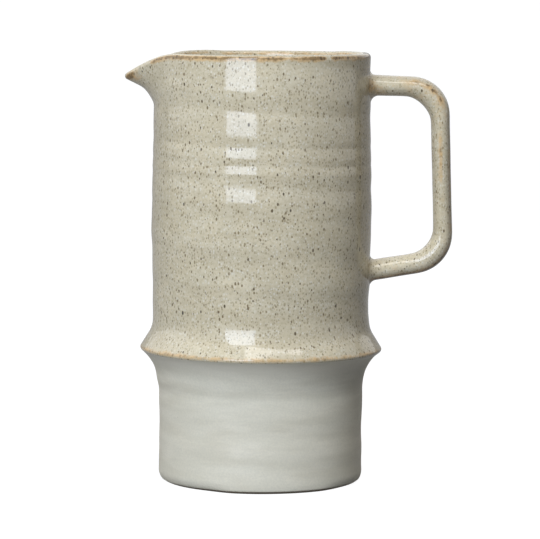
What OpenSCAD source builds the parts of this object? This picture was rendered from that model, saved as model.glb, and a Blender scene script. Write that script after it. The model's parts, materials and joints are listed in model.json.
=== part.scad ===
// Stoneware jug with a collar, a pulled spout and a looped handle.
// Sizes are in millimetres. The origin is on the jug's axis at the ground, +Z is up,
// the spout points to -X and the handle to +X.

/* [Jug] */
// Height from the ground to the top of the rim
jug_h = 210; // [195:1:240]
// Wall thickness
wall = 4.5; // [3.5:0.1:6]
// Height of the step in each joint between two rings of clay
lap = 4; // [2:0.5:5]

/* [Foot and floor] */
// Outer diameter of the base section
base_d = 99.6; // [94:0.2:108]
// Height of the foot ring
foot_h = 4; // [3:0.5:8]
// Width of the foot ring
foot_w = 8; // [6:0.5:14]
// Rounding of the foot's outer edge
foot_round = 2.2; // [1:0.1:3]
// Depth of the recess under the floor
recess_h = 2.5; // [1:0.5:2.5]
// Thickness of the floor
floor_t = 6; // [4:0.5:10]
// Radius of the inside corner between floor and wall
floor_fillet = 10; // [6:0.5:16]

/* [Collar] */
// Height of the collar's nose above the ground
collar_z = 65; // [55:0.5:75]
// How far the collar's nose stands out past the waist above it
collar_out = 6.1; // [4:0.1:10]
// Rounding of the collar's nose
nose_r = 1.5; // [1:0.1:2.5]
// Thickness of the clay behind the nose
collar_t = 9.5; // [7.5:0.1:12]
// Radius of the hollow curve under the collar
under_r = 25; // [18:0.5:32]
// Slope of the collar's upper flank, from the vertical
flank_angle = 32; // [25:1:45]
// Radius of the hollow curve above the flank
flank_r = 12.5; // [8:0.5:16]

/* [Body] */
// Outer diameter just above the collar
waist_d = 105.8; // [102:0.2:114]
// Outer diameter where the body is widest
belly_d = 108.2; // [104:0.2:118]
// Height of the widest place above the ground
belly_z = 131; // [110:1:150]
// Outer diameter at the mouth
mouth_d = 106.6; // [102:0.2:114]
// Height of the rim band
rim_h = 8; // [7:0.5:12]

/* [Spout] */
// How far the spout's tip stands out past the mouth
spout_out = 13.7; // [12:0.1:22]
// How far the spout's tip lies below the rim
spout_drop = 9.4; // [4:0.1:12]
// Angle on each side of the tip over which the spout opens into the wall
spout_angle = 42; // [28:1:50]
// Slope of the beak, from the vertical
beak_angle = 65; // [55:1:72]
// Radius of the hollow curve under the beak
beak_fillet = 11.3; // [8:0.1:13]
// Share by which the wall thins towards the spout's tip
lip_thin = 0.2; // [0:0.05:0.3]

/* [Handle] */
// Depth of the upper arm's middle below the top of the rim, at the wall
handle_drop = 15.7; // [14:0.1:30]
// Height of the handle's lower end above the collar's flank
handle_lift = 24.7; // [16:0.1:40]
// Distance from the jug's axis to the middle of the grip at its top
grip_x = 87; // [80:0.5:105]
// Thickness of the grip
grip_t = 9.3; // [7:0.1:13]
// Thickness of the two arms
arm_t = 10.2; // [7:0.1:11]
// Width of the handle from front to back, at its upper end
grip_w = 16; // [12:0.5:24]
// Width of the handle from front to back, at its lower end
low_w = 14.4; // [11:0.2:24]
// Radius of the handle's corners at the middle of its thickness
corner_r = 16.4; // [12:0.1:20]
// Extra thickness in the middle of the upper corner
upper_swell = 2.3; // [0:0.1:4]
// Extra thickness in the middle of the lower corner
lower_swell = 1.3; // [0:0.1:4]
// Outward lean of the grip towards the bottom
grip_lean = 1.7; // [0:0.1:4]
// Fall of the upper arm away from the wall
arm_fall = 1.7; // [0:0.1:10]
// Rise of the lower arm away from the wall
arm_rise = 9.1; // [0:0.1:15]
// Reach of the upper joint coil above the arm
upper_coil_top = 2.3; // [1.5:0.1:3]
// Reach of the upper joint coil below the arm
upper_coil_under = 4; // [2:0.1:6]
// Reach of the lower joint coil
lower_coil = 2.8; // [1.5:0.1:5]
// Film of slip between the wall and the handle's ends
slip = 0.05; // [0.05:0.01:0.1]

/* [Hidden] */

// Colours of the speckled glaze, the matt glaze, the bare clay and the rim's brown edge
speckled = [0.77, 0.74, 0.65];
matt = [0.73, 0.73, 0.69];
bare = [0.62, 0.53, 0.43];
edge_brown = [0.68, 0.56, 0.42];

// Counts of steps round the jug and along its curves
$fn = 96;
arc_steps = 8;
sweep_steps = 8;
lip_steps = 11;
coil_steps = 6;
spout_steps = 12;
side_steps = 32;
section_steps = 32;

// Shape of the handle's section: 2 is an ellipse, more is squarer
section_power = 2.1;
// Powers that shape the spout in plan and along its lip: more is narrower and later
pull_power = 4;
droop_power = 1.1;
// Share by which the spout's sides draw together at its tip
pinch_share = 0.25;
// Shares of the handle's section at which its wall ends have a ring
cap_shares = [0.15, 0.45, 0.75, 1];

base_r = base_d / 2;
waist_r = waist_d / 2;
belly_r = belly_d / 2;
mouth_r = mouth_d / 2;
half_wall = wall / 2;

// Foot and floor
ring_in_r = base_r - foot_w;
floor_z = recess_h + floor_t;
dish_z = floor_z + floor_fillet;
foot_chamfer = foot_round / 2;

// Collar: the nose circle, the curve under it and the flank above it
nose_x = waist_r + collar_out - nose_r;
under_x = base_r + under_r;
under_reach = under_r + nose_r;
under_a = acos((under_x - nose_x) / under_reach);
under_z = collar_z - under_reach * sin(under_a);
base_seam_z = collar_z - nose_r * sin(under_a);
flank_run = collar_out - (nose_r + flank_r) * (1 - cos(flank_angle));
flank_rise = (nose_r + flank_r) * sin(flank_angle) + flank_run / tan(flank_angle);
body_seam_z = collar_z + flank_rise;
collar_in_r = waist_r + collar_out - collar_t;

// Spout: the middle line of its wall from the cylinder out to the tip
beak_r = beak_fillet + half_wall;
beak_run = (spout_out - half_wall - beak_fillet + beak_r * cos(beak_angle)) / sin(beak_angle);
tip_z = jug_h - half_wall - spout_drop;
spout_z = tip_z - beak_r * sin(beak_angle) - beak_run * cos(beak_angle);
rim_seam_z = jug_h - rim_h;
crest_z = jug_h - half_wall;
over = wall;

// Handle: its two ends at the wall, the headings of its three straight runs and where these cross
upper_z = jug_h - handle_drop;
lower_z = body_seam_z + handle_lift;
lower_x = body_r(lower_z);
headings = [-arm_fall, grip_lean - 90, arm_rise - 180];
lean = tan(grip_lean);
rise = tan(arm_rise);
upper_corner = [grip_x, upper_z - (grip_x - mouth_r) * tan(arm_fall)];
corner_x = (grip_x + (upper_corner[1] - lower_z + lower_x * rise) * lean) / (1 + rise * lean);
lower_corner = [corner_x, lower_z + (corner_x - lower_x) * rise];

function ease(t) = (1 - cos(180 * t)) / 2;
function mix(a, b, t) = a + (b - a) * t;
function along(from, to, steps) = [for (i = [0:steps]) mix(from, to, i / steps)];
function heading(a) = [cos(a), sin(a)];
function across(a) = [-sin(a), cos(a)];
function way(p, q) = atan2(q[1] - p[1], q[0] - p[0]);
function arc(x, z, r, from, to, steps) = [for (a = along(from, to, steps)) [x, z] + r * heading(a)];

// Outer radius of the body at height z, above the collar's flank
function body_r(z) =
    z < belly_z ? mix(waist_r, belly_r, ease((z - body_seam_z) / (belly_z - body_seam_z)))
    : z < spout_z ? mix(belly_r, mouth_r, ease((z - belly_z) / (spout_z - belly_z)))
    : mouth_r;

// Inner radius at height z, from the dished floor to the mouth
function inner_r(z) =
    z < under_z ? base_r - wall
    : z < collar_z ? mix(base_r - wall, collar_in_r, ease((z - under_z) / (collar_z - under_z)))
    : z < body_seam_z ? mix(collar_in_r, waist_r - wall, ease((z - collar_z) / (body_seam_z - collar_z)))
    : body_r(z) - wall;

// Middle of the step in a joint whose outside seam is at height z
function lap_r(z) = inner_r(z) + half_wall;

// Points down the inside between two heights
function inside(from, to, steps) = [for (z = along(from, to, steps)) [inner_r(z), z]];

// The lap of a joint seen from the piece below it and from the piece above it
function lap_top(z) = [[lap_r(z), z], [lap_r(z), z + lap]];
function lap_bottom(z) = [[lap_r(z), z + lap], [lap_r(z), z]];

module turned(points) {
    rotate_extrude() polygon(points);
}

// Triangles of the strips between loops of count points, the last loop joined to the first if closed
function strips(loops, count, closed) = [
    for (i = [0:loops - (closed ? 1 : 2)], j = [0:count - 1])
        let (a = i * count, b = (i + 1) % loops * count, k = (j + 1) % count)
        each [[a + j, b + j, b + k], [a + j, b + k, a + k]]
];

// Faces that close a loop of an even count of points, rung by rung from its first and last point
function rungs(count) = [for (i = [0:count / 2 - 2]) [i, i + 1, count - 2 - i, count - 1 - i]];

// A solid from a row of loops, closed at its first and last loop
module lofted(rings) {
    count = len(rings[0]);
    last = (len(rings) - 1) * count;
    ends = [for (rung = rungs(count)) each [rung, [for (i = [3:-1:0]) last + rung[i]]]];
    polyhedron([for (ring = rings) each ring], concat(strips(len(rings), count, false), ends));
}

// A solid ring from loops that follow one another round it
module looped(rings) {
    polyhedron([for (ring = rings) each ring], strips(len(rings), len(rings[0]), true));
}

module foot_ring() {
    color(bare)
    turned(concat(
        [[ring_in_r + foot_chamfer, 0]],
        arc(base_r - foot_round, foot_round, foot_round, -90, 0, arc_steps),
        [[base_r, foot_h], [ring_in_r, foot_h], [ring_in_r, foot_chamfer]]
    ));
}

module base_floor() {
    color(bare)
    turned(concat(
        [[0, recess_h], [ring_in_r, recess_h], [ring_in_r, foot_h], [base_r - half_wall, foot_h],
         [base_r - half_wall, dish_z]],
        arc(base_r - wall - floor_fillet, dish_z, floor_fillet, 0, -90, arc_steps),
        [[0, floor_z]]
    ));
}

module base_wall() {
    color(matt)
    turned(concat(
        [[base_r, foot_h]],
        arc(under_x, under_z, under_r, 180, 180 - under_a, 2 * arc_steps),
        lap_top(base_seam_z),
        inside(base_seam_z + lap, under_z, 2 * arc_steps),
        [[base_r - wall, dish_z], [base_r - half_wall, dish_z], [base_r - half_wall, foot_h]]
    ));
}

module collar() {
    color(speckled)
    turned(concat(
        lap_bottom(base_seam_z),
        arc(nose_x, collar_z, nose_r, -under_a, flank_angle, arc_steps),
        arc(waist_r + flank_r, body_seam_z, flank_r, 180 + flank_angle, 180, arc_steps),
        lap_top(body_seam_z),
        inside(body_seam_z + lap, base_seam_z + lap, 2 * arc_steps)
    ));
}

// Takes the sector of the spout out of a ring
module spout_gap() {
    reach = mouth_d;
    depth = reach * tan(spout_angle);
    difference() {
        children();
        translate([0, 0, spout_z])
        linear_extrude(jug_h - spout_z + over)
        polygon([[0, 0], [-reach, depth], [-reach, -depth]]);
    }
}

module body_wall() {
    color(speckled)
    spout_gap()
    turned(concat(
        lap_bottom(body_seam_z),
        [for (z = along(body_seam_z, belly_z, arc_steps)) [body_r(z), z]],
        [for (z = along(belly_z, spout_z, arc_steps)) [body_r(z), z]],
        [[mouth_r, rim_seam_z]],
        lap_top(rim_seam_z),
        [[mouth_r - wall, rim_seam_z + lap]],
        inside(spout_z, belly_z, arc_steps),
        inside(belly_z, body_seam_z + lap, arc_steps)
    ));
}

module rim() {
    color(edge_brown)
    spout_gap()
    turned(concat(
        [[mouth_r - wall, rim_seam_z + lap]],
        lap_bottom(rim_seam_z),
        [[mouth_r, rim_seam_z]],
        arc(mouth_r - half_wall, crest_z, half_wall, 0, 180, lip_steps)
    ));
}

// The middle line of the wall at share s of its length: straight up at pull 0, the beak at pull 1
function straight_line(s) = [mouth_r - half_wall, mix(spout_z, crest_z, s)];
function beak_line(s) =
    let (
        bend = beak_r * beak_angle * PI / 180,
        run = s * (bend + beak_run),
        a = min(run, bend) / beak_r * 180 / PI,
        rest = max(run - bend, 0)
    )
    [mouth_r + beak_fillet - beak_r * cos(a) + rest * sin(a), spout_z + beak_r * sin(a) + rest * cos(a)];
function wall_line(s, pull) =
    let (a = straight_line(s), b = beak_line(s))
    [mix(a[0], b[0], pull), mix(a[1], b[1], pow(pull, droop_power))];

// How strongly the wall is pulled out at a turn from the tip: 1 at the tip, 0 at the spout's sides
function pull_at(turn) = pow(1 - pow(turn / spout_angle, 2), pull_power);

// Section of the spout's wall: up its outer face, over the rounded lip and down its inner face
function spout_section(pull) =
    let (
        line = [for (s = along(0, 1, spout_steps)) wall_line(s, pull)],
        last = len(line) - 1,
        half = [for (s = along(0, 1, spout_steps)) half_wall * (1 - lip_thin * pull * s)],
        ways = [90, for (i = [1:last]) way(line[i - 1], line[min(i + 1, last)])]
    )
    concat(
        [for (i = [0:last - 1]) line[i] - half[i] * across(ways[i])],
        [for (a = along(ways[last] - 90, ways[last] + 90, lip_steps)) line[last] + half[last] * heading(a)],
        [for (i = [last - 1:-1:0]) line[i] + half[i] * across(ways[i])]
    );

// Places a point of the section: round the cylinder, then straight out with the pull and pinched in
function spout_point(flat, pulled, turn) =
    let (out = pulled[0] - flat[0])
    [-flat[0] * cos(turn) - out, flat[0] * sin(turn) * (1 - pinch_share * out / spout_out), pulled[1]];

module spout() {
    turns = along(-spout_angle, spout_angle, side_steps);
    flat = spout_section(0);
    rings = [for (turn = turns)
        let (pulled = spout_section(pull_at(turn)))
        [for (i = [0:len(flat) - 1]) spout_point(flat[i], pulled[i], turn)]];
    color(speckled) lofted(rings);
}

// Outline of the handle's section, half its thickness outwards and half its width sideways
function bulge(c) = sign(c) * pow(abs(c), 2 / section_power);
function section_at(i, t, w) =
    let (a = 360 * i / section_steps)
    [t / 2 * bulge(cos(a)), w / 2 * bulge(sin(a))];
function place(p, h, q) = let (c = p + q[0] * across(h)) [c[0], q[1], c[1]];
function ring_at(p, h, t, w) = [for (i = [0:section_steps - 1]) place(p, h, section_at(i, t, w))];

// The rounded corner at point p between two headings: its start and its centre
function corner_start(p, from, to) = p - corner_r * tan((from - to) / 2) * heading(from);
function corner_middle(p, from, to) = corner_start(p, from, to) - corner_r * across(from);
function corner_rings(p, from, to, t_from, t_to, swell, w) = [for (s = along(0, 1, sweep_steps))
    let (h = mix(from, to, s), t = mix(t_from, t_to, s) + swell * sin(180 * s))
    ring_at(corner_middle(p, from, to) + corner_r * across(h), h, t, w)];

// Where a straight line from point p, at depth y and with a slope, meets the wall's outer face
function wall_x(y, z) = sqrt(pow(body_r(z) + slip, 2) - y * y);
function on_wall(p, y, slope) =
    let (x = wall_x(y, p[1] + (mouth_r - p[0]) * slope), z = p[1] + (x - p[0]) * slope)
    [wall_x(y, z), y, z];
function wall_point(p, h, q) = on_wall(p + q[0] * across(h), q[1], tan(h));
function wall_ring(p, h, t, w) = [for (i = [0:section_steps - 1]) wall_point(p, h, section_at(i, t, w))];

module handle() {
    upper_rings = corner_rings(upper_corner, headings[0], headings[1], arm_t, grip_t, upper_swell, grip_w);
    lower_rings = corner_rings(lower_corner, headings[1], headings[2], grip_t, arm_t, lower_swell, low_w);
    upper_end = [for (s = cap_shares) wall_ring(upper_corner, headings[0], s * arm_t, s * grip_w)];
    lower_end = [for (s = cap_shares) wall_ring(lower_corner, headings[2], s * arm_t, s * low_w)];
    last = len(cap_shares) - 1;
    color(speckled)
    lofted(concat(
        upper_end,
        upper_rings,
        lower_rings,
        [for (i = [last:-1:0]) lower_end[i]]
    ));
}

// A ring of clay in the corner between an arm and the wall, hollow curved outside
module joint_coil(p, h, out, w, reach_top, reach_under) {
    loops = [for (i = [0:section_steps - 1])
        let (
            reach = mix(reach_under, reach_top, (1 + cos(360 * i / section_steps)) / 2),
            root = wall_point(p, h, section_at(i, arm_t, w)),
            foot = wall_point(p, h, section_at(i, arm_t + 2 * reach, w + 2 * reach)),
            head = root + reach * [out[0], 0, out[1]]
        )
        [root, for (a = along(0, 90, coil_steps)) mix(foot, root, sin(a)) + (1 - cos(a)) * (head - root)]];
    color(speckled) looped(loops);
}

module upper_joint_coil() {
    joint_coil(upper_corner, headings[0], heading(headings[0]), grip_w, upper_coil_top, upper_coil_under);
}

module lower_joint_coil() {
    joint_coil(lower_corner, headings[2], -heading(headings[2]), low_w, lower_coil, lower_coil);
}

foot_ring();
base_floor();
base_wall();
collar();
body_wall();
rim();
spout();
handle();
upper_joint_coil();
lower_joint_coil();
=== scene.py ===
"""Looks of the stoneware jug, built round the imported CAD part.

Sizes are in millimetres and angles in degrees until a mesh is made. The jug stands on z = 0 with its
axis on Z, the spout points to -X and the handle to +X. The vessel is one grid of points, cut into
pieces that each close on themselves inside the wall, so that no seam shows between them.
"""

import json

import bpy
import numpy as np
from mathutils import Matrix, Vector

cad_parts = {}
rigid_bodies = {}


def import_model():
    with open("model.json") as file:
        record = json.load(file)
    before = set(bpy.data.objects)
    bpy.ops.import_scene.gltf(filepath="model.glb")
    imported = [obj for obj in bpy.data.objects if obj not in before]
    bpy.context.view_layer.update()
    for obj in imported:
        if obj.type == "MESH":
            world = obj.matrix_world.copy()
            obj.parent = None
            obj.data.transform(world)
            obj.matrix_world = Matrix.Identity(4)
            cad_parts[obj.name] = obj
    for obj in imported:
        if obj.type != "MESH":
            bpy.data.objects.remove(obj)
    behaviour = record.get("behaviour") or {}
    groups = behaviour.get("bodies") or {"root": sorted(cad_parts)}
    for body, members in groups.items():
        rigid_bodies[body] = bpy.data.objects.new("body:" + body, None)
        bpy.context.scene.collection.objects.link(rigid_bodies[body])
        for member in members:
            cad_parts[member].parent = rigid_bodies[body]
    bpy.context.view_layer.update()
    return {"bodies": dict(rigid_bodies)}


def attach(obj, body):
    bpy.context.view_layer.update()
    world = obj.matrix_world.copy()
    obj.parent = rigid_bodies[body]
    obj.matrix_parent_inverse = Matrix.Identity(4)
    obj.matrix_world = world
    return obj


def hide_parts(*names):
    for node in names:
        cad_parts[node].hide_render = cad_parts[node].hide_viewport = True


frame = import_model()

MM = 0.001


def ease(t):
    """Runs smoothly from 0 to 1 as t does, and stays level on both sides."""
    return (1 - np.cos(np.pi * np.clip(t, 0, 1))) / 2


def rise(x, start, run):
    """0 up to start, and 1 from start + run on."""
    return ease((x - start) / run)


def fall(x, end, run):
    """1 up to end - run, and 0 from end on."""
    return ease((end - x) / run)


def bell(x, middle, width):
    """A smooth hump of height 1 at middle."""
    return np.exp(-(((x - middle) / width) ** 2))


def mix(a, b, t):
    return a + (b - a) * t


def sin(angle):
    return np.sin(np.radians(angle))


def cos(angle):
    return np.cos(np.radians(angle))


def along(start, end, step):
    """Even values from start to end, no further apart than step."""
    return np.linspace(start, end, int(np.ceil(abs(end - start) / step)) + 1)


# The part's own sizes, as in its source. The jug is a hair lower, so that its lip stays in the CAD's box
JUG_H = 209.97
WALL = 4.5
# Foot and floor
BASE_R = 49.8
FOOT_W = 8.0
FOOT_ROUND = 2.2
RECESS_H = 2.5
FLOOR_Z = 8.5
FLOOR_FILLET = 10.0
# Collar: height and reach of its nose, thickness behind it, the hollow under it and the flank above it
COLLAR_Z = 65.0
COLLAR_OUT = 6.1
NOSE_R = 1.5
COLLAR_T = 9.5
UNDER_R = 25.0
FLANK_ANGLE = 32.0
FLANK_R = 12.5
# Body
WAIST_R = 52.9
BELLY_R = 54.1
BELLY_Z = 131.0
MOUTH_R = 53.3
# Spout: reach and drop of its tip, the angle on each side over which it opens, and its beak
SPOUT_OUT = 13.7
SPOUT_DROP = 9.4
SPOUT_ANGLE = 42.0
BEAK_ANGLE = 65.0
BEAK_FILLET = 11.3
# Powers that shape it in plan and along its lip, and shares by which it narrows and thins at its tip
PULL_POWER = 4.0
DROOP_POWER = 1.1
PINCH = 0.25
LIP_THIN = 0.2
# Handle: where its ends and its grip are, thicknesses, widths, corners, slopes and joint coils
UPPER_Z = 194.3
HANDLE_LIFT = 24.7
GRIP_X = 87.0
GRIP_T = 9.3
ARM_T = 10.2
GRIP_W = 16.0
LOW_W = 14.4
CORNER_R = 16.4
UPPER_SWELL = 2.3
LOWER_SWELL = 1.3
GRIP_LEAN = 1.7
ARM_FALL = 1.7
ARM_RISE = 9.1
SECTION_POWER = 2.1
UPPER_COIL_TOP = 2.3
UPPER_COIL_UNDER = 4.0
LOWER_COIL = 2.8

# Sizes that follow from them
HALF = WALL / 2
CREST_Z = JUG_H - HALF
RING_IN_R = BASE_R - FOOT_W
FOOT_X = BASE_R - FOOT_ROUND
DISH_Z = FLOOR_Z + FLOOR_FILLET
NOSE_X = WAIST_R + COLLAR_OUT - NOSE_R
UNDER_X = BASE_R + UNDER_R
UNDER_ANGLE = np.degrees(np.arccos((UNDER_X - NOSE_X) / (UNDER_R + NOSE_R)))
UNDER_Z = COLLAR_Z - (UNDER_R + NOSE_R) * sin(UNDER_ANGLE)
BASE_SEAM_Z = COLLAR_Z - NOSE_R * sin(UNDER_ANGLE)
FLANK_X = WAIST_R + FLANK_R
FLANK_RUN = COLLAR_OUT - (NOSE_R + FLANK_R) * (1 - cos(FLANK_ANGLE))
FLANK_RISE = (NOSE_R + FLANK_R) * sin(FLANK_ANGLE) + FLANK_RUN * cos(FLANK_ANGLE) / sin(FLANK_ANGLE)
BODY_SEAM_Z = COLLAR_Z + FLANK_RISE
COLLAR_IN_R = WAIST_R + COLLAR_OUT - COLLAR_T
BEAK_R = BEAK_FILLET + HALF
BEAK_RUN = (SPOUT_OUT - HALF - BEAK_FILLET + BEAK_R * cos(BEAK_ANGLE)) / sin(BEAK_ANGLE)
SPOUT_Z = CREST_Z - SPOUT_DROP - BEAK_R * sin(BEAK_ANGLE) - BEAK_RUN * cos(BEAK_ANGLE)
LOWER_Z = BODY_SEAM_Z + HANDLE_LIFT

# Throwing rings: heights at which the spiral has turned by half a ring more, seen from the front,
# with the depth of the rings there
FRONT = 260.0  # the azimuth, from +X, at which they are set out
RING_Z = [62.0, 82.0, 90.0, 98.0, 107.0, 116.0, 125.0, 138.0, 143.5, 153.0, 155.0, 159.5, 164.0, 168.0,
          177.5, 188.0, 200.0, 212.0]
RING_DEPTH = [0.02, 0.05, 0.07, 0.08, 0.08, 0.08, 0.08, 0.08, 0.15, 0.075, 0.08, 0.055, 0.075, 0.065,
              0.115, 0.12, 0.13, 0.1]
BASE_RING_Z = [0.0, 9.0, 17.0, 24.0, 33.0, 41.0, 50.0, 62.0]
BASE_RING_DEPTH = 0.065
# Each ring is a little sharper on one side: share and phase of its overtone
OVERTONE = 0.25
OVERTONE_PHASE = 0.7
# Heights at which the tables end, the spiral's turns there, and how finely the tables are smoothed
TABLE_LOW = -20.0
TABLE_HIGH = 232.0
LOW_TURNS = -4.0
HIGH_TURNS = 9.5
TABLE_STEP = 0.5
TABLE_WINDOW = 15
# Broad hollows and swells of the wall: height, depth and half width
SWELLS = [(142.0, -0.14, 5.0), (113.0, -0.16, 6.0), (98.0, 0.2, 5.0), (87.0, -0.08, 4.0),
          (27.0, -0.2, 7.0), (45.0, 0.05, 5.0)]
# How far the wall is from round: depth, waves round the jug and the height over which they turn
WOBBLES = [(0.06, 2, 31), (0.04, 3, -17)]
# The collar's nose is worn down by this much, and stands higher on the left by this much
NOSE_WEAR = 0.06
COLLAR_LIFT = 0.9
# The foot's edge is trimmed away more to the left and right than in front: by how much and how high
FOOT_CUT_LEFT = 2.5
FOOT_CUT_RIGHT = 1.5
FOOT_CUT_H = 5.2


def body_r(z):
    """Outer radius of the body's wall in the CAD model."""
    lower = mix(WAIST_R, BELLY_R, rise(z, BODY_SEAM_Z, BELLY_Z - BODY_SEAM_Z))
    upper = mix(BELLY_R, MOUTH_R, rise(z, BELLY_Z, SPOUT_Z - BELLY_Z))
    return np.where(z < BELLY_Z, lower, upper)


def inner_r(z):
    """Inner radius of the wall above the dished floor."""
    neck = mix(BASE_R - WALL, COLLAR_IN_R, rise(z, UNDER_Z, COLLAR_Z - UNDER_Z))
    chest = mix(COLLAR_IN_R, WAIST_R - WALL, rise(z, COLLAR_Z, BODY_SEAM_Z - COLLAR_Z))
    return np.where(z < COLLAR_Z, neck, np.where(z < BODY_SEAM_Z, chest, body_r(z) - WALL))


def smoothed_steps(heights, values):
    """A function of height through those values, with its corners rounded over a few millimetres."""
    fine = np.arange(TABLE_LOW, TABLE_HIGH, TABLE_STEP)
    kernel = np.hanning(TABLE_WINDOW)
    raw = np.interp(fine, heights, values)
    ends = np.pad(raw, TABLE_WINDOW // 2, mode="reflect", reflect_type="odd")
    soft = np.convolve(ends, kernel / kernel.sum(), mode="valid")
    return lambda z: np.interp(z, fine, soft)


def half_turns(heights):
    return [i / 2 for i in range(len(heights))]


ring_turns = smoothed_steps([TABLE_LOW, *RING_Z, TABLE_HIGH], [LOW_TURNS, *half_turns(RING_Z), HIGH_TURNS])
ring_depth = smoothed_steps(RING_Z, RING_DEPTH)
base_turns = smoothed_steps(BASE_RING_Z, half_turns(BASE_RING_Z))


def to_left(theta, power):
    """1 on the spout's side and 0 on the handle's, narrower with a higher power."""
    return ((1 - cos(theta)) / 2) ** power


def to_right(theta, power):
    return to_left(theta + 180, power)


def fullness(theta, z):
    """Where the wall stands out, or runs in, on some sides of the jug only."""
    # A rolled edge above the flank, in front and at the back
    roll = 0.13 * bell(z, 77, 2.6) - 0.1 * bell(z, 71.3, 1.8) - 0.2 * bell(z, 84, 5) + 0.07 * fall(z, 70, 4)
    front = sin(theta) ** 2 * roll
    # The collar is fuller on the right, and the base on the left and on the right
    collar = 0.6 * to_right(theta, 4) * fall(z, 83.5, 7) * rise(z, 61.5, 3)
    hip = 0.6 * to_left(theta, 2) * bell(z, 50, 3.5)
    side = to_right(theta, 2) * (0.27 + 0.3 * bell(z, 40, 6)) * fall(z, 56, 8) * rise(z, 0, 6)
    # The body is shallower on the left, in two steps, up to the spout
    hollow = to_left(theta, 3) * (0.56 * rise(z, 85, 14) + 0.26 * rise(z, 122, 10)) * fall(z, 194, 10)
    return front + collar + hip + side - hollow


def collar_lift(theta, z):
    return COLLAR_LIFT * to_left(theta, 2) * rise(z, 50, 8) * fall(z, 86, 8)


def relief(theta, z):
    """How far the fired wall stands out from the CAD surface: rings, swells and a slight wobble."""
    turn = np.radians(theta - FRONT)
    phase = 2 * np.pi * ring_turns(z) + turn
    rings = ring_depth(z) * (-np.sin(phase) + OVERTONE * np.sin(2 * phase + OVERTONE_PHASE))
    base_rings = BASE_RING_DEPTH * (np.sin(2 * np.pi * base_turns(z) + turn) - 1)
    swells = sum(depth * bell(z, middle, width) for middle, depth, width in SWELLS)
    wobble = sum(depth * np.sin(waves * turn + z / height) for depth, waves, height in WOBBLES)
    # Only the rings run on over the collar's nose
    uneven = (swells + wobble) * (1 - bell(z, COLLAR_Z, 6.0)) - NOSE_WEAR * bell(z, COLLAR_Z, 8.0)
    return mix(base_rings, rings, rise(z, 74, 10)) + uneven + fullness(theta, z)


def foot_cut(theta, z):
    """How much of the foot's edge is trimmed away at an azimuth and a height."""
    azimuth = theta % 360
    left = FOOT_CUT_LEFT * fall(azimuth, 258, 24) * rise(azimuth, 140, 20)
    right = FOOT_CUT_RIGHT * (rise(azimuth, 304, 24) + fall(azimuth, 30, 20))
    return (left + right) * np.clip(1 - z / FOOT_CUT_H, 0, 1) ** 2


def outer_r(theta, z):
    """Radius of the body's fired surface, where the handle's ends meet it."""
    return body_r(z) + relief(theta, z)


# Columns of the vessel's grid, as azimuths from the back round past the spout's tip and the front.
# They lie closer together near the tip
BACK = 90
TIP = 180
NEAR_TIP = 46.0
COLUMNS = np.concatenate([
    np.linspace(start, end, count + 1)[:-1]
    for start, end, count in ((BACK, TIP - NEAR_TIP, 33), (TIP - NEAR_TIP, TIP + NEAR_TIP, 110),
                              (TIP + NEAR_TIP, BACK + 360, 146))
])
AZIMUTH = COLUMNS % 360
TURNS = TIP - COLUMNS
COS = cos(COLUMNS)
SIN = sin(COLUMNS)
# How far each column is pulled into the spout, from 0 to 1
PULL = np.clip(1 - (TURNS / SPOUT_ANGLE) ** 2, 0, 1) ** PULL_POWER
# The lip dips on the far side of the spout and sags slightly along the far side of the mouth
LIP_DIP = 1.5
FAR_SAG = 0.46
LIP_SINK = LIP_DIP * bell(TURNS, 25, 13) + FAR_SAG * fall(AZIMUTH, 124, 16) * rise(AZIMUTH, 36, 12)
# Height above its root over which the rings fade out on the spout
RINGS_FADE = 12
# The wall starts straight up, and has its own direction from this share of its length on
WAY_START = 0.06
WAY_STEP = 0.02
# The sides of the wall above the spout's root, as turns of top_row
OUTSIDE = 90
INSIDE = -90


def ring(radius, z):
    """A row of the grid at one height, its radius one number or one for each column."""
    radius = radius * np.ones(len(COLUMNS))
    return np.stack([radius * COS, radius * SIN, z * np.ones(len(COLUMNS))], 1)


def wall_line(s):
    """The middle line of the wall at share s of its length above the spout's root."""
    bend = BEAK_R * np.radians(BEAK_ANGLE)
    run = s * (bend + BEAK_RUN)
    a = np.minimum(run, bend) / BEAK_R
    rest = np.maximum(run - bend, 0)
    beak_x = MOUTH_R + BEAK_FILLET - BEAK_R * np.cos(a) + rest * sin(BEAK_ANGLE)
    beak_z = SPOUT_Z + BEAK_R * np.sin(a) + rest * cos(BEAK_ANGLE)
    x = mix(MOUTH_R - HALF, beak_x, PULL)
    z = mix(mix(SPOUT_Z, CREST_Z, s), beak_z, PULL**DROOP_POWER)
    return np.stack([x, z], 1)


def wall_way(s):
    """The direction of that line, as a unit vector for each column."""
    way = wall_line(min(s + WAY_STEP, 1.0)) - wall_line(max(s - WAY_STEP, 0.0))
    way = way / np.linalg.norm(way, axis=1)[:, None]
    return mix(np.array([0.0, 1.0]), way, min(s / WAY_START, 1.0))


def top_row(s, turn, depth=1.0):
    """A row above the spout's root. turn is 90 on the outer face, 0 on the crest and -90 inside.

    depth is 1 on the surface and 0 on the middle line of the wall.
    """
    way = wall_way(s)
    out = np.stack([way[:, 1], -way[:, 0]], 1)
    outward = depth * sin(turn)
    upward = depth * cos(turn) * (abs(turn) < OUTSIDE)
    half = HALF * (1 - LIP_THIN * PULL * s)[:, None]
    point = wall_line(s) + half * (outward * out + upward * way)
    flat = MOUTH_R - HALF + HALF * outward
    height = mix(SPOUT_Z, CREST_Z, s) + HALF * upward
    bump = relief(COLUMNS, height) * (turn > 0) * sin(turn) * (1 - PULL * rise(height, SPOUT_Z, RINGS_FADE))
    moved = point[:, 0] - flat
    across = (flat + bump) * (1 - PINCH * moved / SPOUT_OUT)
    return np.stack([(flat + bump) * COS - moved, across * SIN, point[:, 1] - LIP_SINK * s**2], 1)


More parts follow.
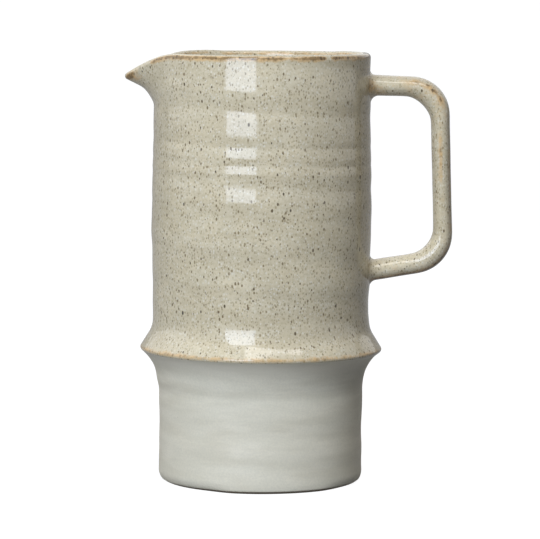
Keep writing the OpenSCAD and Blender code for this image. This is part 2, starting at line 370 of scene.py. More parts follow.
def arc(x, z, r, start, end, steps):
    """Points, as radius and height, along a part of a circle."""
    angles = np.linspace(start, end, steps + 1)
    return list(zip(x + r * cos(angles), z + r * sin(angles)))


# The vessel's rows from the middle of the underside, over the lip and down to the middle of the floor,
# the number of each piece's first row, and the turn of each row round the lip
rows = []
marks = {}
lip_turns = {}
RECESS_SAG = 0.15  # how much lower the recess is in its middle
FLOOR_CROWN = 0.3  # how much higher the floor is in its middle
RECESS_ROUND = 1.2  # radii of the foot ring's inner edges
RING_ROUND = 1.1
STANDING_INSET = 2.5  # a row on the standing face lies this far inside its rounded outer edge
GLAZE_T = 0.1  # step of the base's glaze at its lower edge, which is evened out at GLAZE_EVEN_Z
GLAZE_EVEN_Z = 10
TOP_SHARES = np.linspace(0, 1, 31)
RIM_SHARES = 5  # how many of these shares the rim has on the outside and inside, the lip's included
RIM_INNER_SHARES = 4
LIP_ROWS = 17
LIP_TURN = 89.9
INNER_RING_DEPTH = 0.1  # throwing rings on the inside
INNER_RING_H = 17


def mark(name):
    marks[name] = len(rows)


def add_rings(points):
    for r, z in points:
        rows.append(ring(r, z))


def add_outside(points, share=1.0):
    """Rows of the fired outside, with that share of its relief."""
    for r, z in points:
        radius = r + share * relief(COLUMNS, z) - foot_cut(COLUMNS, z)
        rows.append(ring(radius, z + collar_lift(COLUMNS, z)))


def add_top(shares, turn):
    for s in shares:
        rows.append(top_row(s, turn))


# The underside and the foot ring
add_rings([(r, RECESS_H - RECESS_SAG * bell(r, 0, 20)) for r in (8, 16, 24, 31, 36, 39)])
add_rings(arc(RING_IN_R - RECESS_ROUND, RECESS_H - RECESS_ROUND, RECESS_ROUND, 90, 0, 5))
add_rings(arc(RING_IN_R + RING_ROUND, RING_ROUND, RING_ROUND, 180, 270, 5))
add_rings([(FOOT_X - STANDING_INSET, 0)])
add_rings([(r - foot_cut(COLUMNS, z), z) for r, z in arc(FOOT_X, FOOT_ROUND, FOOT_ROUND, -90, -28, 9)])
# The base, from the glaze's lower edge to under the collar
mark("glaze_line")
add_outside(arc(FOOT_X, FOOT_ROUND, FOOT_ROUND + GLAZE_T, -24, 0, 4), 0.2)
add_outside([(BASE_R + GLAZE_T * fall(z, GLAZE_EVEN_Z, 6), z) for z in along(3.0, 12.0, 0.9)], 0.7)
add_outside([(BASE_R, z) for z in along(13.0, UNDER_Z - 1, 1.0)])
add_outside(arc(UNDER_X, UNDER_Z, UNDER_R, 180, 180 - UNDER_ANGLE, 24)[:-1])
# The collar's nose and flank, and the body
mark("nose")
add_outside(arc(NOSE_X, COLLAR_Z, NOSE_R, -UNDER_ANGLE, FLANK_ANGLE, 12))
flank_way = np.array([cos(FLANK_ANGLE), sin(FLANK_ANGLE)])
flank_foot = np.array([NOSE_X, COLLAR_Z]) + NOSE_R * flank_way
flank_top = np.array([FLANK_X, BODY_SEAM_Z]) - FLANK_R * flank_way
add_outside([mix(flank_foot, flank_top, t) for t in np.linspace(0, 1, 8)[1:-1]])
add_outside(arc(FLANK_X, BODY_SEAM_Z, FLANK_R, 180 + FLANK_ANGLE, 180, 14))
add_outside([(float(body_r(z)), z) for z in along(BODY_SEAM_Z, SPOUT_Z, 0.8)[1:-1]])
add_top(TOP_SHARES[:-RIM_SHARES], OUTSIDE)
# The rim, round the lip
mark("rim")
add_top(TOP_SHARES[-RIM_SHARES:-1], OUTSIDE)
for lip_turn in np.linspace(LIP_TURN, -LIP_TURN, LIP_ROWS):
    lip_turns[len(rows)] = lip_turn
    add_top([1.0], lip_turn)
add_top(TOP_SHARES[::-1][1:RIM_INNER_SHARES], INSIDE)
# The inside, down to the floor
mark("inside")
add_top(TOP_SHARES[::-1][RIM_INNER_SHARES:], INSIDE)
for z in along(SPOUT_Z, DISH_Z, 1.7)[1:-1]:
    rings_in = INNER_RING_DEPTH * sin(360 * z / INNER_RING_H + COLUMNS)
    add_rings([(inner_r(z) + rings_in * fall(z, SPOUT_Z, 15) * rise(z, DISH_Z, 8), z)])
add_rings(arc(BASE_R - WALL - FLOOR_FILLET, DISH_Z, FLOOR_FILLET, 0, -90, 12))
add_rings([(r, FLOOR_Z + FLOOR_CROWN * bell(r, 0, 10)) for r in (30, 24, 18, 12, 6)])
mark("end")
rows = np.array(rows)
under_pole = np.array([0, 0, RECESS_H - RECESS_SAG])
floor_pole = np.array([0, 0, FLOOR_Z + FLOOR_CROWN])


def grid_normals(grid, first_pole, last_pole):
    """Smooth normals of a grid of rows that close round, weighted by area."""
    right = np.roll(grid, -1, axis=1)
    face = np.cross(right[1:] - grid[:-1], grid[1:] - right[:-1])
    total = np.zeros_like(grid)
    for part in (face, np.roll(face, 1, axis=1)):
        total[:-1] += part
        total[1:] += part
    for row, pole, sign in ((0, first_pole, 1), (-1, last_pole, -1)):
        total[row] += sign * np.cross(right[row] - pole, grid[row] - pole)
    return total / np.linalg.norm(total, axis=2)[:, :, None]


def facing(normals, row, outward):
    """The same normals, all turned round if the first one in that row points inward."""
    return -normals if normals[row, 0] @ outward < 0 else normals


# The first column is at the back, where outward is +Y
BODY_ROW = marks["nose"] + 30
normals = facing(grid_normals(rows, under_pole, floor_pole), BODY_ROW, np.array([0, 1, 0]))


def grid_faces(count, columns, u, v, has_poles):
    """Faces of a grid of rows that close round, and the places of their corners on the map.

    Without poles the last row joins the first. With them, the two points after the grid's own close
    the first row and the last.
    """
    faces, uvs = [], []
    for i in range(count - 1 if has_poles else count):
        low, high = i * columns, (i + 1) % count * columns
        for j in range(columns):
            k = (j + 1) % columns
            faces.append((low + j, low + k, high + k, high + j))
            uvs += [(u[j], v[i]), (u[j + 1], v[i]), (u[j + 1], v[i + 1]), (u[j], v[i + 1])]
    if not has_poles:
        return faces, uvs
    for pole, row, edge in ((count * columns, 0, 0.0), (count * columns + 1, count - 1, 1.0)):
        for j in range(columns):
            pair = [(row * columns + j, u[j]), (row * columns + (j + 1) % columns, u[j + 1])]
            if row == 0:
                pair.reverse()
            faces.append((pole, pair[0][0], pair[1][0]))
            uvs += [((u[j] + u[j + 1]) / 2, edge), (pair[0][1], v[row]), (pair[1][1], v[row])]
    return faces, uvs


def finish_mesh(name, points, faces, uvs, point_normals, numbers, test):
    """Makes the object, with its normals, its map and its numbers for the materials.

    All faces are turned round if the one numbered test faces against its normals.
    """
    a, b, c = (points[i] for i in faces[test][:3])
    if np.cross(b - a, c - a) @ point_normals[faces[test][0]] < 0:
        turned, at = [], 0
        for face in faces:
            turned += reversed(uvs[at:at + len(face)])
            at += len(face)
        faces, uvs = [tuple(reversed(face)) for face in faces], turned
    mesh = bpy.data.meshes.new(name)
    mesh.from_pydata((points * MM).tolist(), [], faces)
    mesh.update()
    mesh.polygons.foreach_set("use_smooth", [True] * len(mesh.polygons))
    layer = mesh.uv_layers.new(name="OFBake")
    layer.uv.foreach_set("vector", np.asarray(uvs, np.float32).ravel())
    for key, values in numbers.items():
        attribute = mesh.attributes.new(key, "FLOAT", "POINT")
        attribute.data.foreach_set("value", np.asarray(values, np.float32))
    mesh.normals_split_custom_set_from_vertices(point_normals.tolist())
    piece = bpy.data.objects.new(name, mesh)
    bpy.context.scene.collection.objects.link(piece)
    return piece


# Shares of a piece's map that its hidden rows and the faces round a pole take
HIDDEN_SHARE = 0.03
POLE_SHARE = 0.02


def shell(name, first, last, hidden, poles=()):
    """A closed piece: the vessel's rows first to last, then hidden rows inside the wall back again.

    With poles, the piece closes at them instead: the first on the visible side, the second behind.
    """
    columns = len(COLUMNS)
    count = last - first + len(hidden)
    points = np.concatenate([rows[first:last], hidden]).reshape(-1, 3)
    hidden_normals = np.tile(normals[last - 1], (len(hidden), 1, 1))
    point_normals = np.concatenate([normals[first:last], hidden_normals]).reshape(-1, 3)
    if poles:
        points = np.concatenate([points, poles])
        point_normals = np.concatenate([point_normals, [[0, 0, -1], [0, 0, 1]]])
    steps = np.linalg.norm(np.diff(rows[first:last, 0], axis=0), axis=1)
    reach = np.concatenate([[0], np.cumsum(steps)])
    v_shown = mix(POLE_SHARE if poles else 0.0, 1 - HIDDEN_SHARE, reach / reach[-1])
    v_hidden = np.linspace(1 - HIDDEN_SHARE, 1, len(hidden) + 2)[1:]
    u = (np.concatenate([COLUMNS, [COLUMNS[0] + 360]]) - COLUMNS[0]) / 360
    faces, uvs = grid_faces(count, columns, u, np.concatenate([v_shown, v_hidden]), bool(poles))
    made = {}
    for key, values in NUMBERS.items():
        shown = values[first:last].ravel()
        made[key] = np.pad(shown, (0, len(points) - len(shown)))
    return finish_mesh(name, points, faces, uvs, point_normals, made, columns * ((last - first) // 2))


def behind(s, depth):
    """A hidden row near the middle line of the wall above the spout's root."""
    return top_row(s, INSIDE if depth < 0 else OUTSIDE, abs(depth))


def hidden_rings(points):
    return [ring(r, z) for r, z in points]


def rings_in_wall(inset, levels):
    """Hidden rows inside the wall, inset from its inner face, at those heights."""
    return hidden_rings([(float(inner_r(z)) + inset, z) for z in levels])


# Numbers for the materials, one for each point of the grid: where the glaze runs thin and breaks to
# ochre, and a band under the collar that is painted lighter, as painted light against the shade there
heights = rows[:, :, 2] - collar_lift(COLUMNS, rows[:, :, 2])
radii = np.hypot(rows[:, :, 0], rows[:, :, 1])
first_lip, last_lip = min(lip_turns), max(lip_turns)
crest = first_lip + LIP_ROWS // 2
is_outer = np.zeros(heights.shape)  # 1 on the outside, to just past the crest
is_outer[:crest + 2] = 1
# The lip is thin on both its edges, less on the inner one, and the ochre fades out below them
brown_rows = np.zeros(len(rows))
for number, lip_turn in lip_turns.items():
    brown_rows[number] = 1.3 * bell(lip_turn, 68, 31) + 0.8 * bell(lip_turn, -66, 26)
for step in range(1, 5):
    brown_rows[first_lip - step] = 0.75 * bell(step, 0, 1.7)
    brown_rows[last_lip + step] = 0.6 * bell(step, 0, 3)
# Along the lip the ochre is stronger in two places and missing in three, and round the spout's tip it
# shows only a little way to each side
thin = 1 + 0.25 * bell(AZIMUTH, 300, 6) + 0.25 * bell(AZIMUTH, 222, 6)
gaps = 0.9 * bell(AZIMUTH, 307, 1.6) + 0.45 * bell(AZIMUTH, 284, 2) + 0.7 * bell(AZIMUTH, 118, 4)
beak = 0.95 * fall(np.abs(TURNS), 23, 4) - 0.85 * bell(np.abs(TURNS), 6, 5)
lip_edge = brown_rows[:, None] * (thin - gaps) * (1 - beak)
at_tip = np.zeros(heights.shape)
at_tip[marks["rim"] - 1:crest] = 0.65 * bell(TURNS, -8, 7)
NOSE_EDGE_R = 56.5  # the collar's nose is outside this radius
nose_edge = 0.76 * bell(heights, COLLAR_Z + 0.5, 1.65) * (radii > NOSE_EDGE_R) * is_outer
NUMBERS = {
    "brown": np.clip(lip_edge + nose_edge + at_tip, 0, 1.4),
    # Painted light: a band under the collar where the matt glaze is laid lighter, against the shade there
    "painted_light": bell(heights, BASE_SEAM_Z - 2.5, 4.0) * is_outer,
}

# The pieces, each with its hidden rows as radius and height or as share and depth in the wall
foot = shell("foot_edge", 0, marks["glaze_line"] + 1, hidden_rings([(47.0, 4.2), (40, 4.6), (20, 4.6)]),
             (under_pole, np.array([0, 0, 5.2])))
base = shell("matt_base", marks["glaze_line"], marks["nose"] + 1, hidden_rings(
    [(53.2, 62.6), (50, 55), (47.6, 46), (47.6, 30), (47.6, 15), (47.6, 5.5)]))
body = shell("speckled_body", marks["nose"], marks["rim"] + 1,
             [behind(s, 0.08) for s in (0.85, 0.6, 0.3, 0.0)]
             + rings_in_wall(2.35, (175, 160, 145, 130, 115, 100, 88, 79, 72, 67)))
rim = shell("mouth_edge", marks["rim"], marks["inside"] + 1, [behind(0.88, 0.4)])
liner = shell("inside_glaze", marks["inside"], marks["end"],
              hidden_rings([(20, 6.6), (38, 6.6), (44, 9.5), (47.0, 17)])
              + rings_in_wall(2.1, (30, 45, 55, 65, 72, 79, 88, 100, 115, 130, 145, 160, 175))
              + [behind(s, -0.08) for s in (0.0, 0.3, 0.6, 0.8)])


# The handle: a rounded section swept from the wall, round both corners and back
HEADINGS = np.array([-ARM_FALL, GRIP_LEAN - 90, ARM_RISE - 180])
FALL_SLOPE, LEAN_SLOPE, RISE_SLOPE = np.tan(np.radians([ARM_FALL, GRIP_LEAN, ARM_RISE]))
LOWER_X = float(body_r(LOWER_Z))
CORNER_Z = UPPER_Z - (GRIP_X - MOUTH_R) * FALL_SLOPE
CORNER_X = (GRIP_X + (CORNER_Z - LOWER_Z + LOWER_X * RISE_SLOPE) * LEAN_SLOPE) / (1 + RISE_SLOPE * LEAN_SLOPE)
CORNERS = np.array([[GRIP_X, CORNER_Z], [CORNER_X, LOWER_Z + (CORNER_X - LOWER_X) * RISE_SLOPE]])
# Angles round the section: 0 on the outside of the loop, 180 on its inside
SECTION_SIDES = 48
SECTION = np.radians(np.arange(SECTION_SIDES) * 360 / SECTION_SIDES)
UPPER_ARM_THIN = 0.4  # how much thinner the upper arm is where it meets its corner
CORNER_STEPS = 20
COIL_STEPS = 12
COIL_SINK = 0.04  # how deep the fillets' edges lie under the glaze
WALL_TRIES = 4
# Loops in the straight stretches of the upper arm, the grip and the lower arm
STRETCHES = (8, 34, 12)
SMOOTHINGS = 4


def bulge(c):
    return np.sign(c) * np.abs(c) ** (2 / SECTION_POWER)


def way_of(h):
    return np.array([cos(h), sin(h)])


def across(h):
    return np.array([-sin(h), cos(h)])


def section(t, w):
    """Offsets of the section's points: across the arm and sideways."""
    return t / 2 * bulge(np.cos(SECTION)), w / 2 * bulge(np.sin(SECTION))


def loop_at(p, h, t, w):
    q, side = section(t, w)
    return np.stack([p[0] + q * across(h)[0], side, p[1] + q * across(h)[1]], 1)


def onto_wall(p, h, q, side, sink=0.0):
    """Points at those offsets carried along the arm onto the wall's fired surface, less sink."""
    x0, z0 = p[0] + q * across(h)[0], p[1] + q * across(h)[1]
    slope = np.tan(np.radians(h))
    x = np.full_like(q, MOUTH_R)
    for _ in range(WALL_TRIES):
        radius = outer_r(np.degrees(np.arctan2(side, x)), z0 + (x - x0) * slope) - sink
        x = np.sqrt(radius**2 - side**2)
    return np.stack([x, side, z0 + (x - x0) * slope], 1)


def coil_rings(p, h, out, w, top, under):
    """The hollow fillet between an arm and the wall, from the arm down to the wall and into it."""
    q, side = section(ARM_T, w)
    root = onto_wall(p, h, q, side)
    reach = mix(under, top, (1 + np.cos(SECTION)) / 2)
    edge = onto_wall(p, h, q + np.cos(SECTION) * reach, side + np.sin(SECTION) * reach, COIL_SINK)
    head = reach[:, None] * np.array([out[0], 0, out[1]])
    made = [mix(edge, root, sin(turn)) + (1 - cos(turn)) * head
            for turn in np.linspace(90, 0, COIL_STEPS + 1)]
    inward = edge * np.array([0.97, 0.93, 1.0])
    middle = inward.mean(0)
    return made + [inward, mix(inward, middle, 0.5)], middle


def corner_rings(p, h0, h1, t0, t1, swell, w):
    """The bend from heading h0 to h1, thicker in its middle by swell."""
    start = p - CORNER_R * np.tan(np.radians((h0 - h1) / 2)) * way_of(h0)
    centre = start - CORNER_R * across(h0)
    made = []
    for s in np.linspace(0, 1, CORNER_STEPS + 1):
        h = mix(h0, h1, s)
        t = mix(t0, t1, s) + swell * sin(180 * s)
        made.append(loop_at(centre + CORNER_R * across(h), h, t, w))
    return made


def between(loop_a, loop_b, count):
    return [mix(loop_a, loop_b, t) for t in np.linspace(0, 1, count + 2)[1:-1]]


upper_coil, upper_middle = coil_rings(CORNERS[0], HEADINGS[0], way_of(HEADINGS[0]), GRIP_W,
                                      UPPER_COIL_TOP, UPPER_COIL_UNDER)
upper = corner_rings(CORNERS[0], HEADINGS[0], HEADINGS[1], ARM_T - UPPER_ARM_THIN, GRIP_T, UPPER_SWELL,
                     GRIP_W)
lower = corner_rings(CORNERS[1], HEADINGS[1], HEADINGS[2], GRIP_T, ARM_T, LOWER_SWELL, LOW_W)
lower_coil, lower_middle = coil_rings(CORNERS[1], HEADINGS[2], -way_of(HEADINGS[2]), LOW_W,
                                      LOWER_COIL, LOWER_COIL)
loops = list(reversed(upper_coil))
for stretch, following in zip(STRETCHES, (upper, lower, lower_coil)):
    loops += between(loops[-1], following[0], stretch)
    loops += following
loops = np.array(loops)

# The bends run smoothly into the straight stretches
COIL_LOOPS = len(upper_coil)
for _ in range(SMOOTHINGS):
    softer = (loops[:-2] + 2 * loops[1:-1] + loops[2:]) / 4
    loops[COIL_LOOPS:-COIL_LOOPS] = softer[COIL_LOOPS - 1:1 - COIL_LOOPS]

# The fired handle isn't quite even: between its coils it is thinner than in the CAD, by a tenth of a
# millimetre or so, and by more in some places than in others
centres = loops.mean(axis=1, keepdims=True)
run = np.concatenate([[0], np.cumsum(np.linalg.norm(np.diff(centres[:, 0], axis=0), axis=1))])
arm_start, arm_end = run[COIL_LOOPS], run[-COIL_LOOPS - 1]
THINNER = 0.012  # all as shares of the section
LONG_WAVE = 0.006
SHORT_WAVE = 0.004
FULL_AT = 12  # distance from a coil at which the unevenness is full
between_coils = rise(np.minimum(run - arm_start, arm_end - run), 0, FULL_AT)
uneven = LONG_WAVE * np.sin(run / 7.3) + SHORT_WAVE * np.sin(run / 3.1 + 1) - THINNER
loops = centres + (loops - centres) * (1 + between_coils * uneven)[:, None, None]


def handle_wear():
    """How thin the glaze is on the handle, for each loop and side."""
    at = ((run - arm_start) / (arm_end - arm_start))[:, None]
    side = np.degrees(np.arccos(np.cos(SECTION)))[None, :]
    # A little all over, and a little more on the upper arm and its corner
    worn = 0.3 + 0.12 * fall(at, 0.36, 0.1)
    # Along the outer face from the upper corner on
    worn = worn + 0.4 * bell(side, 25, 22) * rise(at, 0.28, 0.1)
    # On the shoulders of the upper arm, before its corner
    worn = worn + 0.6 * bell(side, 60, 16) * bell(at, 0.18, 0.07)
    # On the grip's two side faces, below the upper corner
    worn = worn + 0.58 * bell(side, 97, 12) * bell(at, 0.42, 0.11)
    # Along the outside of the lower corner and the lower arm
    worn = worn + 0.7 * bell(side, 36, 15) * rise(at, 0.7, 0.1)
    # On the sides of the upper fillet
    return worn + 0.55 * bell(side, 95, 32) * bell(at, -0.03, 0.026)


def handle_piece():
    count = len(loops)
    middle = count // 2
    poles = np.array([upper_middle, lower_middle])
    points = np.concatenate([loops.reshape(-1, 3), poles])
    outward = loops[middle, 0] - loops[middle].mean(0)
    loop_normals = facing(grid_normals(loops, *poles), middle, outward)
    # Where a fillet meets the wall it takes the wall's own normal, so no line shows there
    for loop in (2, count - 3):
        flat = loops[loop] * np.array([1, 1, 0])
        loop_normals[loop] = flat / np.linalg.norm(flat, axis=1)[:, None]
    point_normals = np.concatenate([loop_normals.reshape(-1, 3), [[-1, 0, 0], [-1, 0, 0]]])
    u = np.linspace(0, 1, SECTION_SIDES + 1)
    v = POLE_SHARE + (1 - 2 * POLE_SHARE) * run / run[-1]
    faces, uvs = grid_faces(count, SECTION_SIDES, u, v, True)
    made = {"brown": np.concatenate([handle_wear().ravel(), [0, 0]]), "painted_light": np.zeros(len(points))}
    return finish_mesh("loop_handle", points, faces, uvs, point_normals, made, len(faces) // 2)


handle = handle_piece()


# Materials
class Nodes:
    """Adds nodes to a material or a world, each input a number, a colour or another node's output."""

    def __init__(self, owner):
        owner.use_nodes = True
        self.owner = owner
        self.tree = owner.node_tree
        self.tree.nodes.clear()

    def put(self, socket, value):
        if isinstance(value, bpy.types.NodeSocket):
            self.tree.links.new(value, socket)
        elif isinstance(value, tuple) and len(value) == 3 and socket.type == "RGBA":
            socket.default_value = (*value, 1)
        else:
            socket.default_value = value

    def add(self, kind, inputs=None, **settings):
        node = self.tree.nodes.new("ShaderNode" + kind)
        for key, value in settings.items():
            setattr(node, key, value)
        for key, value in (inputs or {}).items():
            self.put(node.inputs[key], value)
        return node

    def math(self, operation, a, b):
        return self.add("Math", {0: a, 1: b}, operation=operation).outputs[0]

    def plus(self, a, b):
        return self.math("ADD", a, b)

    def minus(self, a, b):
        return self.math("SUBTRACT", a, b)

    def times(self, a, b):
        return self.math("MULTIPLY", a, b)

    def larger(self, a, b):
        return self.math("MAXIMUM", a, b)

    def blend(self, share, a, b):
        return self.add("Mix", {0: share, 6: a, 7: b}, data_type="RGBA").outputs[2]

    def cover(self, color, share, cover_share, over):
        """The colour with over laid on it, as far as share times cover_share."""
        return self.blend(self.times(share, cover_share), color, over)

    def ramp(self, value, low, high, to_low=0.0, to_high=1.0):
        inputs = {"Value": value, "From Min": low, "From Max": high, "To Min": to_low, "To Max": to_high}
        return self.add("MapRange", inputs, interpolation_type="SMOOTHSTEP").outputs[0]

    def place(self, flatten, shift):
        """The point on the object in millimetres, its pattern flatten times finer along Z."""
        at = self.add("TexCoord").outputs["Object"]
        scale = (1 / MM, 1 / MM, flatten / MM)
        return self.add("Mapping", {"Vector": at, "Scale": scale, "Location": shift}).outputs[0]

    def noise(self, size, detail, rough=0.5, flatten=1.0, shift=(0, 0, 0)):
        inputs = {"Vector": self.place(flatten, shift), "Scale": 1 / size, "Detail": detail,
                  "Roughness": rough}
        return self.add("TexNoise", inputs).outputs[0]

    def attribute(self, name):
        return self.add("Attribute", attribute_name=name).outputs["Fac"]

    def specks(self, cell, small, large, power=2.0, soft=0.1, shift=(0, 0, 0), flatten=0.66):
        """Round spots, one in each cell of that size, with a radius from small to large.

        Gives where they are, and a number from 0 to 1 that differs from spot to spot.
        """
        node = self.add("TexVoronoi", {"Vector": self.place(flatten, shift), "Scale": 1 / cell,
                                       "Randomness": 1.0})
        chance = self.add("SeparateColor", {0: node.outputs["Color"]}).outputs
        size = self.math("POWER", chance[0], power)
        radius = self.plus(self.times(size, (large - small) / cell), small / cell)
        edge = self.minus(radius, node.outputs["Distance"])
        return self.ramp(edge, -soft / cell, soft / cell), chance[1]

    def wear(self, spread=1.3):
        """How thin the glaze is, made uneven by a noise."""
        uneven = self.plus(self.attribute("brown"), self.times(self.noise(6, 4, 0.65), spread))
        return self.minus(uneven, spread / 2)

    def rays(self):
        """Whether a ray is the camera's, and whether it comes from a mirror or through glass."""
        path = self.add("LightPath").outputs
        mirrored = self.larger(path["Is Glossy Ray"], path["Is Transmission Ray"])
        return path["Is Camera Ray"], mirrored

    def link_last(self, node, output):
        self.tree.links.new(node.outputs[0], self.add(output).inputs[0])

    def finish(self, color, roughness, height, distance, ior):
        bump = self.add("Bump", {"Strength": 1.0, "Distance": distance, "Height": height}).outputs[0]
        inputs = {"Base Color": color, "Roughness": roughness, "Normal": bump, "IOR": ior}
        self.link_last(self.add("BsdfPrincipled", inputs), "OutputMaterial")
        return self.owner


# Colours of the speckled glaze: its cloudy ground, patches, bands and grain, its pale flecks and its
# iron specks, and the ochre with its dark spots. A pair is a range that a noise or a chance picks from
GLAZE = ((0.590, 0.508, 0.341), (0.678, 0.580, 0.390))
GLAZE_PATCH = (0.650, 0.576, 0.414)
GLAZE_BAND = (0.518, 0.435, 0.282)
GLAZE_GRAIN = (0.408, 0.341, 0.21)
PALE_FLECK = (0.74, 0.70, 0.59)
FAINT_SPECK = ((0.345, 0.272, 0.150), (0.235, 0.172, 0.088))
FINE_SPECK = ((0.27, 0.21, 0.11), (0.14, 0.098, 0.046))
MIDDLE_SPECK = ((0.175, 0.122, 0.058), (0.07, 0.048, 0.024))
LARGE_SPECK = (0.05, 0.034, 0.02)
OCHRE = ((0.625, 0.405, 0.182), (0.215, 0.122, 0.036))
OCHRE_SPOT = (0.085, 0.05, 0.02)
# Colours of the matt glaze and of the bare clay
MATT = ((0.655, 0.598, 0.455), (0.755, 0.697, 0.548))
MATT_CLOUD = (0.670, 0.626, 0.488)
MATT_GRAIN = (0.44, 0.41, 0.33)
MATT_SPECK = (0.30, 0.27, 0.20)
# Painted light: the lighter colour laid in a band under the collar, against the shade that falls there
MATT_PAINTED_LIGHT = (0.80, 0.74, 0.60)
MATT_WORN = (0.42, 0.31, 0.18)
CLAY = ((0.225, 0.18, 0.12), (0.17, 0.135, 0.09))
CLAY_GRAIN = (0.12, 0.093, 0.06)
CLAY_GROG = (0.14, 0.09, 0.055)
# Depths of the bumps in metres
GLAZE_BUMP = 0.00002
CLAY_BUMP = 0.00006


def speckled_glaze():
    n = Nodes(bpy.data.materials.new("speckled_glaze"))
    cloud = n.ramp(n.noise(26, 3, 0.55, 1.6), 0.36, 0.64)
    patch = n.ramp(n.noise(7, 3, 0.6, 1.3, (40, 11, 7)), 0.34, 0.66)
    grain = n.noise(1.3, 2, 0.6)
    bands = n.ramp(n.noise(30, 3, 0.55, 5.5, (3, 90, 5)), 0.35, 0.65)
    color = n.blend(cloud, *GLAZE)
    color = n.cover(color, patch, 0.55, GLAZE_PATCH)
    color = n.cover(color, bands, 0.42, GLAZE_BAND)
    color = n.blend(n.ramp(grain, 0.28, 0.6, 0.4, 0.0), color, GLAZE_GRAIN)
    # Pale flecks, then iron specks from many small faint ones to a few large dark ones
    flecks, _ = n.specks(1.25, 0.14, 0.5, 1.5, 0.14, (61, 7, 2), 0.8)
    color = n.cover(color, flecks, 0.5, PALE_FLECK)
    faint, faint_tone = n.specks(1.1, 0.13, 0.48, 1.5, 0.12, (5, 1, 3))
    fine, fine_tone = n.specks(1.5, 0.12, 0.48, 2.1, 0.1, (9, 4, 7), 0.58)
    middle, middle_tone = n.specks(2.8, 0.17, 0.56, 2.8, 0.09, (17, 5, 31), 0.62)
    large, _ = n.specks(8.5, 0.28, 0.76, 3.0, 0.09, (3, 71, 13))
    color = n.cover(color, faint, 0.6, n.blend(faint_tone, *FAINT_SPECK))
    color = n.cover(color, fine, 0.86, n.blend(fine_tone, *FINE_SPECK))
    color = n.cover(color, middle, 0.92, n.blend(middle_tone, *MIDDLE_SPECK))
    color = n.cover(color, large, 0.94, LARGE_SPECK)
    # The glaze breaks to ochre where it runs thin over an edge, and darker where it is thinnest
    streak = n.times(n.noise(1.6, 3, 0.6, shift=(9, 2, 4)), 0.5)
    wear = n.ramp(n.plus(n.wear(), n.minus(streak, 0.25)), 0.34, 1.0)
    thinnest = n.times(n.minus(n.attribute("brown"), 0.8), 0.4)
    tone = n.ramp(n.plus(n.noise(2.4, 3, 0.65, shift=(1, 30, 2)), thinnest), 0.4, 0.74)
    color = n.cover(color, wear, 0.92, n.blend(tone, *OCHRE))
    # Dark spots in the ochre
    spots, _ = n.specks(1.9, 0.16, 0.8, 1.7, 0.12, (23, 2, 8))
    spots = n.times(spots, n.ramp(n.attribute("brown"), 0.55, 1.0))
    color = n.cover(color, n.larger(middle, spots), n.times(wear, 0.8), OCHRE_SPOT)
    # The larger specks are small pits, rougher than the glaze round them
    pits = n.plus(n.times(large, 0.9), n.times(middle, 0.5))
    rough = n.plus(n.times(pits, 0.22), n.ramp(patch, 0, 1, 0.06, 0.085))
    rough = n.plus(rough, n.times(wear, 0.05))
    swell = n.times(n.noise(5.5, 2, shift=(8, 8, 1)), 0.7)
    height = n.minus(swell, n.times(pits, 0.5))
    return n.finish(color, rough, height, GLAZE_BUMP, 1.46)


def matt_glaze():
    n = Nodes(bpy.data.materials.new("matt_glaze"))
    bands = n.ramp(n.noise(34, 4, 0.55, 6), 0.34, 0.66)
    cloud = n.ramp(n.noise(18, 3, 0.5, 1.5, (5, 1, 9)), 0.34, 0.66)
    grain = n.noise(0.9, 2, 0.6)
    color = n.blend(bands, *MATT)
    color = n.cover(color, cloud, 0.45, MATT_CLOUD)
    color = n.blend(n.ramp(grain, 0.3, 0.7, 0.2, 0.0), color, MATT_GRAIN)
    few, _ = n.specks(15, 0.2, 0.45, shift=(2, 3, 4))
    color = n.cover(color, few, 0.5, MATT_SPECK)
    # Painted light: lighter in a band under the collar, where shade falls, and brown towards the nose
    color = n.cover(color, n.attribute("painted_light"), 0.6, MATT_PAINTED_LIGHT)
    color = n.cover(color, n.ramp(n.wear(), 0.35, 0.9), 0.7, MATT_WORN)
    rough = n.ramp(cloud, 0, 1, 0.44, 0.52)
    height = n.plus(n.times(grain, 0.3), n.noise(3.2, 3, 0.5, 2))
    return n.finish(color, rough, height, GLAZE_BUMP, 1.45)


def bare_clay():
    n = Nodes(bpy.data.materials.new("bare_clay"))
    grain = n.noise(0.6, 3, 0.7)
    cloud = n.noise(9, 3, 0.6)
    color = n.blend(cloud, *CLAY)
    color = n.blend(n.ramp(grain, 0.35, 0.7, 0.35, 0.0), color, CLAY_GRAIN)
    grog, _ = n.specks(2.2, 0.12, 0.4)
    color = n.cover(color, grog, 0.6, CLAY_GROG)
    height = n.plus(grain, n.times(n.noise(2.5, 3, 0.6), 0.8))
    return n.finish(color, 0.85, height, CLAY_BUMP, 1.45)


glaze = speckled_glaze()
for piece, material in ((foot, bare_clay()), (base, matt_glaze()), (body, glaze), (rim, glaze),
                        (liner, glaze), (handle, glaze)):
    piece.data.materials.append(material)
    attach(piece, "root" if "root" in frame["bodies"] else next(iter(frame["bodies"])))

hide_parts("foot_ring")
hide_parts("base_wall")
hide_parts("collar", "body_wall", "spout")
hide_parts("rim")
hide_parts("base_floor")
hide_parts("handle", "upper_joint_coil", "lower_joint_coil")


# The studio, in metres: a pale floor that curves up behind, a tall soft box in front on the left, a
# strip above, weaker lights on the far left and behind, and a weak surround
FLOOR_SEEN = 0.965
FLOOR_MIRRORED = 0.33
FLOOR_GREY = 0.15
SURROUND = 0.015
AIM_Z = 0.15
WHITE = (1, 1, 1)
KEY = {"azimuth": -21.4, "distance": 1.8, "width": 1.01, "color": (0.83, 0.925, 1.10)}


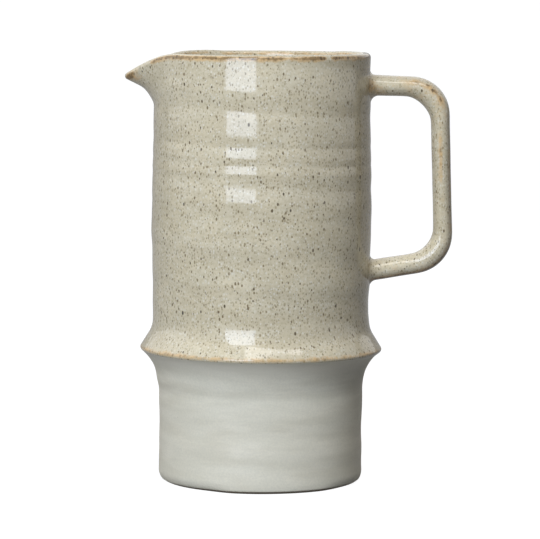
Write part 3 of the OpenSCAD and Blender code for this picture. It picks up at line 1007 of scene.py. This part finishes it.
def backdrop():
    front, bend_at, bend_r, half_width, top = -4.0, 1.6, 0.8, 4.0, 3.2
    angles = np.linspace(-90, 0, 13)
    line = [(front, 0.0), *zip(bend_at + bend_r * cos(angles), bend_r + bend_r * sin(angles)),
            (bend_at + bend_r, top)]
    points = [(side * half_width, y, z) for y, z in line for side in (-1, 1)]
    faces = [(2 * i, 2 * i + 1, 2 * i + 3, 2 * i + 2) for i in range(len(line) - 1)]
    mesh = bpy.data.meshes.new("studio_floor")
    mesh.from_pydata(points, [], faces)
    mesh.polygons.foreach_set("use_smooth", [True] * len(faces))
    floor = bpy.data.objects.new("studio_floor", mesh)
    bpy.context.scene.collection.objects.link(floor)
    n = Nodes(bpy.data.materials.new("pale_floor"))
    camera_ray, mirrored = n.rays()
    lift = n.plus(n.times(camera_ray, FLOOR_SEEN), n.times(mirrored, FLOOR_MIRRORED))
    shader = n.add("BsdfDiffuse", {"Color": (FLOOR_GREY, FLOOR_GREY, FLOOR_GREY)})
    glow = n.add("Emission", {"Color": WHITE, "Strength": lift})
    n.link_last(n.add("AddShader", {0: shader.outputs[0], 1: glow.outputs[0]}), "OutputMaterial")
    mesh.materials.append(n.owner)


def soft_box(name, azimuth, elevation, distance, width, height, radiance, color=WHITE, aim_z=AIM_Z):
    """A rectangle of even light that faces the jug; azimuth 0 is the camera's side, 90 the right."""
    data = bpy.data.lights.new(name, "AREA")
    data.shape = "RECTANGLE"
    data.size = width
    data.size_y = height
    data.energy = radiance * np.pi * width * height
    data.color = color
    lamp = bpy.data.objects.new(name, data)
    level = cos(elevation)
    way = Vector((level * sin(azimuth), -level * cos(azimuth), sin(elevation)))
    turn = way.to_track_quat("Z", "Y").to_matrix().to_4x4()
    lamp.matrix_world = Matrix.Translation(way * distance + Vector((0, 0, aim_z))) @ turn
    bpy.context.scene.collection.objects.link(lamp)


def standing_box(name, low, high, radiance, **where):
    """The same, but upright, from height low to height high."""
    soft_box(name, elevation=0, height=high - low, radiance=radiance, aim_z=(low + high) / 2, **where)


backdrop()
standing_box("key_low", low=0.117, high=0.36, radiance=6.1, **KEY)
standing_box("key_high", low=0.36, high=2.28, radiance=7.6, **KEY)
soft_box("strip", azimuth=20, elevation=63, distance=1.7, width=1.34, height=0.45, radiance=5.4)
soft_box("fill_behind", azimuth=172, elevation=30, distance=1.45, width=2.6, height=1.1, radiance=0.72)
soft_box("reflector", azimuth=-112, elevation=34, distance=1.8, width=2.4, height=1.9, radiance=0.8)

world = Nodes(bpy.data.worlds.new("studio"))
bpy.context.scene.world = world.owner
seen = world.larger(*world.rays())
strength = world.add("MapRange", {"Value": seen, "To Min": SURROUND, "To Max": 1.0}).outputs[0]
world.link_last(world.add("Background", {"Color": WHITE, "Strength": strength}), "OutputWorld")

# The camera, at the photograph's angle
CAMERA_AT = (0.0, -1.66, 0.257)
CAMERA_DOWN = 5.276
CAMERA_PAN = -0.158
CAMERA_ROLL = 0.229
camera_data = bpy.data.cameras.new("camera")
camera_data.lens = 226.67
camera_data.sensor_width = 36.0
camera_data.clip_start = 0.1
camera_data.clip_end = 50.0
camera = bpy.data.objects.new("camera", camera_data)
camera.matrix_world = (
    Matrix.Translation(CAMERA_AT)
    @ Matrix.Rotation(np.radians(CAMERA_PAN), 4, "Z")
    @ Matrix.Rotation(np.radians(90 - CAMERA_DOWN), 4, "X")
    @ Matrix.Rotation(np.radians(CAMERA_ROLL), 4, "Z")
)
bpy.context.scene.collection.objects.link(camera)
bpy.context.scene.camera = camera
bpy.context.scene.view_settings.view_transform = "Standard"
